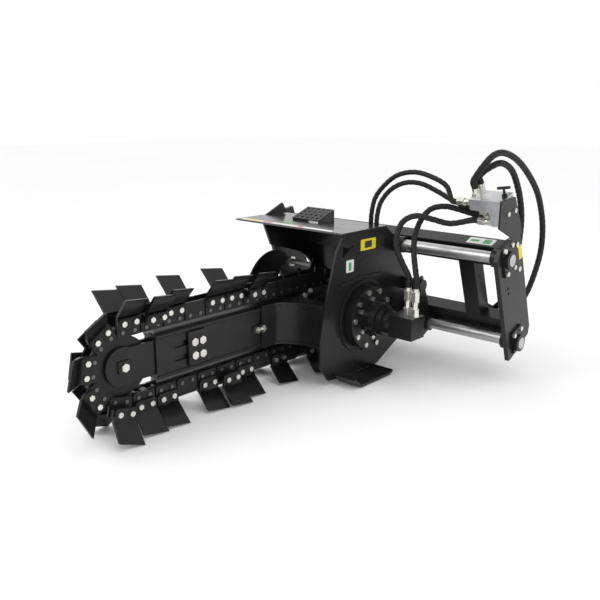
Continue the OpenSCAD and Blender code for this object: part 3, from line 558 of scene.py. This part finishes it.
@dataclass
class Hose:
    """A hydraulic hose: a swept tube with a spiral guard, and a crimped ferrule at each end."""

    name: str
    route: Sequence[Point]
    diameter: float
    node: str
    body: str
    far_end: str
    blend: tuple[str, str, Point, Point] | None = None
    extras: tuple[str, ...] = ()
    wrap_pitch: float = 26 * MM
    groove_depth: float = 0.136
    groove_width: float = 0.085
    flats: int = 8
    flat_depth: float = 0.035
    step: float = 3.2 * MM
    sides: int = 22
    ferrule: float = 52 * MM

    def radius(self, along: Array, angle: Array, length: float) -> Array:
        """The hose's radius.

        The guard is a flat band wound on a helix. Its phase is length over pitch less the turn, and a
        groove of rounded section lies where the phase is near a whole number. Near both ends the
        radius steps up to a crimped ferrule with eight flats.

        Args:
            along: length from the start.
            angle: turn round the hose.
            length: the hose's whole length.

        Returns:
            The radius at each length and turn.
        """
        half = self.diameter / 2
        phase = (along / self.wrap_pitch - angle / (2 * math.pi)) % 1.0
        near = np.minimum(phase, 1.0 - phase)
        groove = np.exp(-((near / self.groove_width) ** 2))
        wound = half * (1 - self.groove_depth * groove)
        edge = np.minimum(along, length - along)
        flat = self.flat_depth * np.cos(self.flats * angle) ** 8
        band = 0.04 * (np.sin(edge / self.ferrule * 9) > 0.9)
        crimp = half * (1.05 - flat - band)
        inside = 1 / (1 + np.exp((edge - self.ferrule) / (0.9 * MM)))
        return wound * (1 - inside) + crimp * inside

    def build(self) -> bpy.types.Object:
        path = smooth_path(np.asarray(self.route) * MM, self.step)
        length = path_length(path)
        points, faces = swept_tube(path, lambda s, a: self.radius(s, a, length), self.sides)
        obj = outward(new_piece(self.name, points, faces, Finish.HOSE))
        add_length_uv(obj, len(path), self.sides, length)
        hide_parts(self.node)
        if self.blend is None:
            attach(obj, self.body)
        else:
            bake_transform(obj)
        coarse = path[:: max(1, int(0.012 / self.step))]
        coarse = np.vstack([coarse, path[-1]])
        LOG.info("%s: %.3f m long", self.name, length)
        return obj


@dataclass
class HoseSet:
    """The six hoses, on the routes that the CAD model uses.

    Places are in millimetres, with heights counted from the drive axle. Each end leaves its fitting
    straight: the faces of the fittings on the valve and on the side-shift cylinder are given in the
    leaning frame, whose lean gives the direction of those fittings too.
    """

    shaft_y: float = 677.0
    shaft_rise: float = 296.0
    block_left: float = 597.0
    top_port: float = 529.0
    fitting: float = 66.0
    side_ports: Sequence[tuple[float, float, float]] = (
        (34, 230, 90), (54, 184, 0), (30, 150, 0), (76, 150, 0))
    top_ports: Sequence[float] = (36, 82)
    top_face: float = 296.0
    barrel_port: float = -165.5
    motor_ports: Sequence[float] = (340.0, 378.0)
    motor_y: float = 437.6
    motor_face: float = 170.0
    shift_hose: float = 22.0
    motor_hose: float = 25.0
    supply_hose: float = 27.0
    shift_left: Sequence[Point] = (
        (380, 632, 583), (297, 632, 618), (215, 632, 630), (131, 631, 612), (65, 628, 565), (20, 620, 505),
        (6, 613, 435), (5, 611, 365), (0, 613, 292), (-16, 638, 232), (-60, 688, 192), (-125, 708, 173),
        (-200, 710, 173))
    shift_right: Sequence[Point] = (
        (400, 664, 518), (320, 662, 552), (240, 656, 580), (165, 645, 580), (98, 634, 548), (52, 622, 490),
        (38, 613, 425), (38, 611, 355), (37, 613, 290), (34, 638, 236), (30, 690, 204))
    motor_front: Sequence[Point] = (
        (418, 618, 428), (360, 570, 445), (306, 528, 459), (268, 492, 438), (258, 462, 390), (272, 440, 330),
        (306, 436, 270))
    motor_rear: Sequence[Point] = (
        (420, 670, 484), (370, 642, 494), (322, 615, 481), (300, 578, 440), (302, 530, 376), (330, 484, 308),
        (366, 448, 240))
    supply_long: Sequence[Point] = (
        (578, 596, 690), (590, 650, 722), (597, 720, 722), (600, 820, 690), (600, 930, 626), (597, 1040, 538),
        (592, 1115, 433), (588, 1150, 338), (582, 1158, 248), (572, 1140, 158), (560, 1100, 68),
        (538, 1056, 6),
        (508, 1008, -34), (474, 966, -50), (440, 966, -50))
    supply_short: Sequence[Point] = (
        (580, 660, 678), (592, 720, 680), (594, 800, 640), (590, 880, 545), (588, 922, 440), (580, 935, 330),
        (568, 940, 235), (552, 945, 145), (522, 950, 65), (474, 954, 2), (440, 954, 2))

    def leaned(self, x: float, v: float, u: float) -> tuple[float, float, float]:
        """A point given in the leaning frame: x across, v backwards, u upwards from the upper shaft."""
        c, s = math.cos(LEAN), math.sin(LEAN)
        return x, self.shaft_y + v * c - u * s, self.shaft_rise + v * s + u * c

    def at_port(self, index: int) -> list[tuple[float, float, float]]:
        """The face of a fitting on the valve's left, and a point straight out of it."""
        v, u, seat = self.side_ports[index]
        x = self.block_left - self.fitting - seat
        return [self.leaned(x, v, u), self.leaned(x - 30, v, u)]

    def at_top(self, index: int) -> list[tuple[float, float, float]]:
        """The face of a fitting on top of the valve, and a point straight out of it."""
        x, v = self.top_port, self.top_ports[index]
        return [self.leaned(x, v, self.top_face), self.leaned(x, v, self.top_face + 35)]

    def at_barrel(self, x: float) -> list[tuple[float, float, float]]:
        """A point above a port of the side-shift cylinder, then the port's face."""
        return [self.leaned(x, -2, self.barrel_port + 30), self.leaned(x, -2, self.barrel_port)]

    def at_motor(self, index: int) -> list[tuple[float, float, float]]:
        """A point above a fitting of the motor, then the fitting's face."""
        x = self.motor_ports[index]
        return [(x, self.motor_y, self.motor_face + 45), (x, self.motor_y, self.motor_face)]

    def raised(self, route: Sequence[Point]) -> Array:
        """A route with its heights counted from the ground instead of the drive axle."""
        low, high = (np.asarray(c, float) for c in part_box("drive_shaft"))
        return np.asarray(route, float) + (0, 0, (low[2] + high[2]) / 2 / MM)

    def build(self) -> None:
        """Builds the hoses that cross the side shift, then the two supply hoses."""
        across = ("frame", "head", (0.46, 0.633, 0.8), (0.06, 0.633, 0.8))
        to_motor = ("frame", "head", (0.50, 0.66, 0.75), (0.38, 0.44, 0.56))
        over_port = self.leaned(-242, -2, self.barrel_port + 52)
        left = [*self.at_port(0), *self.shift_left, over_port, *self.at_barrel(-260)]
        right = [*self.at_port(1), *self.shift_right, *self.at_barrel(30)]
        front = [*self.at_port(2), *self.motor_front, *self.at_motor(0)]
        rear = [*self.at_port(3), *self.motor_rear, *self.at_motor(1)]
        for name, route, size, node, blend in (
            ("hose_side_shift_left", left, self.shift_hose, "cylinder_hoses", across),
            ("hose_side_shift_right", right, self.shift_hose, "cylinder_hoses", across),
            ("hose_motor_front", front, self.motor_hose, "motor_hoses", to_motor),
            ("hose_motor_rear", rear, self.motor_hose, "motor_hoses", to_motor),
        ):
            Hose(name, self.raised(route), size * MM, node, "head", "object", blend).build()
        long, short = [*self.at_top(0), *self.supply_long], [*self.at_top(1), *self.supply_short]
        Hose("hose_supply_long", self.raised(long), self.supply_hose * MM, "supply_hose_long", "frame",
             "connector", extras=("coupler_long_eased",)).build()
        Hose("hose_supply_short", self.raised(short), self.supply_hose * MM, "supply_hose_short", "frame",
             "connector", extras=("coupler_short_eased",)).build()


# ---------------------------------------------------------------- auger


@dataclass
class Auger:
    """The spoil auger: a helical flight on a tube, worked out as one smooth swept sheet."""

    pitch_turns: float = 1.0
    start_degrees: float = 150.0
    thickness: float = 8 * MM
    tube_radius: float = 57 * MM
    outer_radius: float = 225.5 * MM

    def middle(self) -> tuple[float, float, float, float]:
        """The axle's height and place, and the auger's two ends, from the CAD box."""
        low, high = (np.asarray(corner, float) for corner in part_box("drive_shaft"))
        a_low, a_high = (np.asarray(corner, float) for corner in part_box("auger"))
        return (low[1] + high[1]) / 2, (low[2] + high[2]) / 2, a_low[0], a_high[0]

    def flight(self) -> tuple[Array, list[list[int]]]:
        """The flight's points and faces.

        A rounded rectangle, in radius and thickness, is carried round the axis: at turn t the section
        stands at angle start + 360 t and is moved along X by t times the free length. The auger's own
        direction matches the CAD node, whose angle runs from -Z towards +Y.

        Returns:
            The points, and the faces as lists of point numbers.
        """
        y0, z0, x0, x1 = self.middle()
        r0, r1, half = self.tube_radius - 3 * MM, self.outer_radius, self.thickness / 2
        ease = 1.6 * MM
        section = np.array([
            (r0, -half), (r1 - ease, -half), (r1, -half + ease),
            (r1, half - ease), (r1 - ease, half), (r0, half)])
        turns = np.linspace(0, self.pitch_turns, 145)
        angle = np.radians(self.start_degrees) + 2 * np.pi * turns[:, None]
        shift = x0 + half + turns[:, None] * (x1 - x0 - self.thickness)
        r, d = section[None, :, 0], section[None, :, 1]
        x = shift + d + 0 * r
        y = y0 + r * np.sin(angle)
        z = z0 - r * np.cos(angle)
        points = np.stack([x, y, z], axis=-1).reshape(-1, 3)
        count = len(section)
        faces = grid_faces(len(turns), count).tolist()
        last = (len(turns) - 1) * count
        return points, faces + [list(range(count))[::-1], list(range(last, last + count))]

    def build(self) -> None:
        """Builds the flight and its tube."""
        points, faces = self.flight()
        flight = outward(new_piece("auger_flight", points, faces, Finish.CHAIN_PAINT))
        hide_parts("auger")
        place(flight, "drive", "black_paint")
        y0, z0, x0, x1 = self.middle()
        path = np.array([(x0, y0, z0), (x0 + 4 * MM, y0, z0), (x1 - 4 * MM, y0, z0), (x1, y0, z0)])
        end = x1 - x0

        def radius(along: Array, angle: Array) -> Array:
            """The tube's radius, with a small chamfer at each end."""
            edge = np.minimum(along, end - along)
            return self.tube_radius - np.clip(4 * MM - edge, 0, None) * 0.5 + 0 * angle

        points, faces = swept_tube(path, radius, 64)
        tube = outward(new_piece("auger_tube", points, faces, Finish.PAINT))
        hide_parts("auger")
        place(tube, "drive", "black_paint")


# ---------------------------------------------------------------- welds


@dataclass
class Welds:
    """Rippled fillet welds where the plates meet."""

    radius: float = 4.5 * MM
    ripple: float = 3.6 * MM
    scale: float = 0.16
    sides: int = 10
    cap: float = 10 * MM
    overhang: float = 6 * MM
    seat_radius: float = 101.5 * MM

    def bead(self, name: str, corners: Sequence[Point], body: str) -> None:
        """One bead along straight stretches.

        Its radius is the bead's radius less a small share that rises and falls once in each ripple, so
        that the surface shows overlapping scales.

        Args:
            name: the piece's name.
            corners: places along the joint, in metres.
            body: the body it rides on.
        """
        p = np.asarray(corners, float)
        along = np.concatenate([[0], np.cumsum(np.linalg.norm(np.diff(p, axis=0), axis=1))])
        even = np.linspace(0, along[-1], max(8, int(along[-1] / (self.ripple / 3))))
        path = np.stack([np.interp(even, along, p[:, k]) for k in range(3)], axis=1)

        def radius(s: Array, angle: Array) -> Array:
            """The bead's radius at a length along it."""
            return self.radius * (1 - self.scale * np.abs(np.sin(np.pi * s / self.ripple))) + 0 * angle

        points, faces = swept_tube(path, radius, self.sides)
        place(outward(new_piece(name, points, faces, Finish.PAINT)), body, "black_paint")

    def build(self) -> None:
        """Welds along the boom's two caps and round the gearbox's seat."""
        low, high = (np.asarray(c, float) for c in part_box("boom_tube"))
        bracket_front = float(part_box("boom_bracket")[0][1])
        wall = (high[0] - low[0]) / 2 - self.overhang
        mid = (high[0] + low[0]) / 2
        above, below = high[2] - self.cap, low[2] + self.cap
        for k, (side, z) in enumerate(((1, above), (1, below), (-1, above), (-1, below))):
            x = mid + side * wall
            self.bead(f"weld_boom_{k}", ((x, low[1] + 4 * MM, z), (x, bracket_front - 3 * MM, z)), "head")
        ring = np.linspace(0, 2 * np.pi, 73)
        shaft = np.mean([np.asarray(c, float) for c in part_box("drive_shaft")], axis=0)
        inner_face = np.full_like(ring, float(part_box("side_plate")[0][0]))
        y, z = shaft[1] + self.seat_radius * np.cos(ring), shaft[2] + self.seat_radius * np.sin(ring)
        self.bead("weld_gearbox", np.stack([inner_face, y, z], axis=1), "head")


# ---------------------------------------------------------------- labels


@dataclass
class Labels:
    """Plain coloured vinyl patches, with no lettering."""

    lift: float = 0.4 * MM

    def patch(self, name: str, origin: Point, across: Point, up: Point, size: tuple[float, float],
              finish: Finish, body: str) -> None:
        """One rounded patch.

        Its outline is a rectangle with quarter-circle corners: a point of the unit circle, scaled by
        the corner's radius and moved to the corner of its own quadrant. It is a thin closed slab.

        Args:
            name: the piece's name.
            origin: the middle, on the surface, in metres.
            across: direction of the width.
            up: direction of the height.
            size: width and height in metres.
            finish: its colour.
            body: the body it rides on.
        """
        a, b = unit(np.asarray(across, float)), unit(np.asarray(up, float))
        normal = np.cross(a, b)
        corner = 0.08 * min(size)
        angle = np.radians(np.arange(0, 360, 15) + 7.5)
        u = corner * np.cos(angle) + np.sign(np.cos(angle)) * (size[0] / 2 - corner)
        v = corner * np.sin(angle) + np.sign(np.sin(angle)) * (size[1] / 2 - corner)
        flat = np.asarray(origin, float) + u[:, None] * a + v[:, None] * b
        n = len(flat)
        points = np.vstack([flat - 0.3 * MM * normal, flat + self.lift * normal])
        faces = grid_faces(2, n).tolist() + [list(range(n))[::-1], list(range(n, 2 * n))]
        place(outward(new_piece(name, points, faces, finish, smooth=False)), body, LABEL_SLOT)

    def build(self) -> None:
        """Labels on the side plate, the deflector, the end plate and the upper beam."""
        face = float(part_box("side_plate")[1][0])
        axle = sum(float(corner[2]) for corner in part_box("drive_shaft")) / 2
        right, back, tall = (1.0, 0.0, 0.0), (0.0, 1.0, 0.0), (0.0, 0.0, 1.0)
        for name, layer, y, rise, size, finish in (
            ("label_side_yellow", 0, 0.464, 0.322, (0.108, 0.049), Finish.YELLOW),
            ("label_side_mark", 1, 0.464, 0.322, (0.050, 0.030), Finish.DARK_MARK),
            ("label_side_white", 0, 0.338, 0.242, (0.052, 0.054), Finish.WHITE),
            ("label_side_green", 1, 0.338, 0.240, (0.016, 0.036), Finish.GREEN),
        ):
            self.patch(name, (face + layer * self.lift, y, axle + rise), back, tall, size, finish, "head")
        c, s = math.cos(LEAN), math.sin(LEAN)
        lean_back, lean_up = np.array((0.0, c, s)), np.array((0.0, -s, c))
        shaft = np.mean([np.asarray(corner, float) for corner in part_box("upper_shaft")], axis=0) * (0, 1, 1)
        end = float(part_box("end_plate_right")[1][0])
        for name, across, up, spot, size, finish in (
            ("label_end_yellow", lean_back, lean_up, (end, 0.112, -0.022), (0.030, 0.062), Finish.YELLOW),
            ("label_beam_white", right, lean_back, (0.50, 0.078, 0.025), (0.125, 0.050), Finish.WHITE),
            ("label_beam_green", right, lean_back, (0.53, 0.078, 0.0254), (0.035, 0.035), Finish.GREEN),
            ("label_beam_mark", right, lean_back, (0.47, 0.078, 0.0254), (0.040, 0.016), Finish.GREEN),
        ):
            place_at = shaft + (spot[0], 0, 0) + spot[1] * lean_back + spot[2] * lean_up
            self.patch(name, place_at, across, up, size, finish, "frame")
        edge, deck = float(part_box("deflector")[0][1]), float(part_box("deflector")[1][2])
        for name, layer, x, inset, size, finish in (
            ("label_top_white", 0, -0.245, 0.021, (0.560, 0.030), Finish.WHITE),
            ("label_top_yellow", 1, -0.450, 0.021, (0.085, 0.020), Finish.YELLOW),
            ("label_top_red", 1, -0.355, 0.021, (0.055, 0.018), Finish.RED),
            ("label_top_dot", 1, -0.150, 0.021, (0.030, 0.018), Finish.RED),
            ("label_top_green", 0, -0.285, 0.085, (0.050, 0.045), Finish.GREEN),
        ):
            spot = (x, edge + inset, deck + layer * self.lift)
            self.patch(name, spot, right, back, size, finish, "head")


# ---------------------------------------------------------------- studio


@dataclass
class Studio:
    """Pale floor, soft lights and the photograph's camera."""

    eye: tuple[float, float, float] = (2.04034, -2.09964, 1.16923)
    pitch: float = 14.664
    yaw: float = 42.414
    roll: float = 0.091
    lens: float = 44.31
    floor_size: float = 40.0

    def camera(self) -> None:
        """Makes the camera: it looks along yaw, then down by pitch, then rolls."""
        p, a, r = (math.radians(v) for v in (self.pitch, self.yaw, self.roll))
        ahead = np.array([-math.sin(a) * math.cos(p), math.cos(a) * math.cos(p), -math.sin(p)])
        level = np.array([math.cos(a), math.sin(a), 0.0])
        over = np.cross(level, ahead)
        right = level * math.cos(r) + over * math.sin(r)
        up = over * math.cos(r) - level * math.sin(r)
        data = bpy.data.cameras.new("camera")
        data.lens = self.lens
        data.sensor_width = 36.0
        data.clip_end = 200.0
        obj = bpy.data.objects.new("camera", data)
        bpy.context.scene.collection.objects.link(obj)
        turn = Matrix((right, up, -ahead)).transposed().to_4x4()
        obj.matrix_world = Matrix.Translation(Vector(self.eye)) @ turn
        bpy.context.scene.camera = obj

    def light(
        self, name: str, place_at: Point, target: Point, size: tuple[float, float], power: float
    ) -> None:
        """One soft rectangular light that faces a point.

        Args:
            name: the light's name.
            place_at: where it stands, in metres.
            target: where it looks.
            size: its width and height in metres.
            power: its power in watts.
        """
        data = bpy.data.lights.new(name, "AREA")
        data.shape = "RECTANGLE"
        data.size, data.size_y = size
        data.energy = power
        obj = bpy.data.objects.new(name, data)
        bpy.context.scene.collection.objects.link(obj)
        obj.location = place_at
        obj.rotation_euler = (Vector(target) - Vector(place_at)).to_track_quat("-Z", "Y").to_euler()

    def build(self) -> None:
        """Floor, world, lights and camera."""
        world = bpy.data.worlds.new("studio")
        world.use_nodes = True
        world.node_tree.nodes["Background"].inputs["Color"].default_value = (1.0, 1.0, 1.0, 1.0)
        world.node_tree.nodes["Background"].inputs["Strength"].default_value = 1.0
        bpy.context.scene.world = world
        half = self.floor_size / 2
        bottom = float(CAD_BOX[0][2]) - 0.5 * MM
        corners = ((-half, -half), (half, -half), (half, half), (-half, half))
        points = np.array([(x, y, bottom) for x, y in corners])
        floor = new_piece("floor", points, [(0, 1, 2, 3)], Finish.WHITE, smooth=False)
        floor.data.materials.clear()
        floor.data.materials.append(self.floor_material())
        bpy.context.scene.view_settings.view_transform = "Standard"
        middle = (0.0, 0.0, 0.35)
        for name, place_at, size, power in (
            ("key", (-1.6, -3.2, 3.6), (2.4, 2.4), 52.0),
            ("right", (3.6, -0.2, 2.4), (1.6, 2.6), 8.0),
            ("top", (0.2, 0.6, 4.2), (3.0, 2.0), 12.0),
        ):
            self.light(name, place_at, middle, size, power)
        self.camera()

    def floor_material(self) -> bpy.types.Material:
        """A pale, even, matt floor."""
        nodes = Nodes("studio_floor")
        cloud = nodes.noise((0.6, 0.6, 0.6), 2.0, 0.5)
        tint = nodes.ramp(cloud, "Fac", ((0.3, (0.965,) * 3), (0.7, (0.98,) * 3)))
        nodes.join(tint, "Color", nodes.shader, "Base Color")
        nodes.shader.inputs["Roughness"].default_value = 0.9
        return nodes.material


def main() -> None:
    """Builds every sub-assembly in order."""
    logging.basicConfig(level=logging.INFO, format="%(name)s %(message)s")
    CarriedNodes().build()
    HoseSet().build()
    Auger().build()
    Welds().build()
    Labels().build()
    Studio().build()


if __name__ == "__main__":
    main()
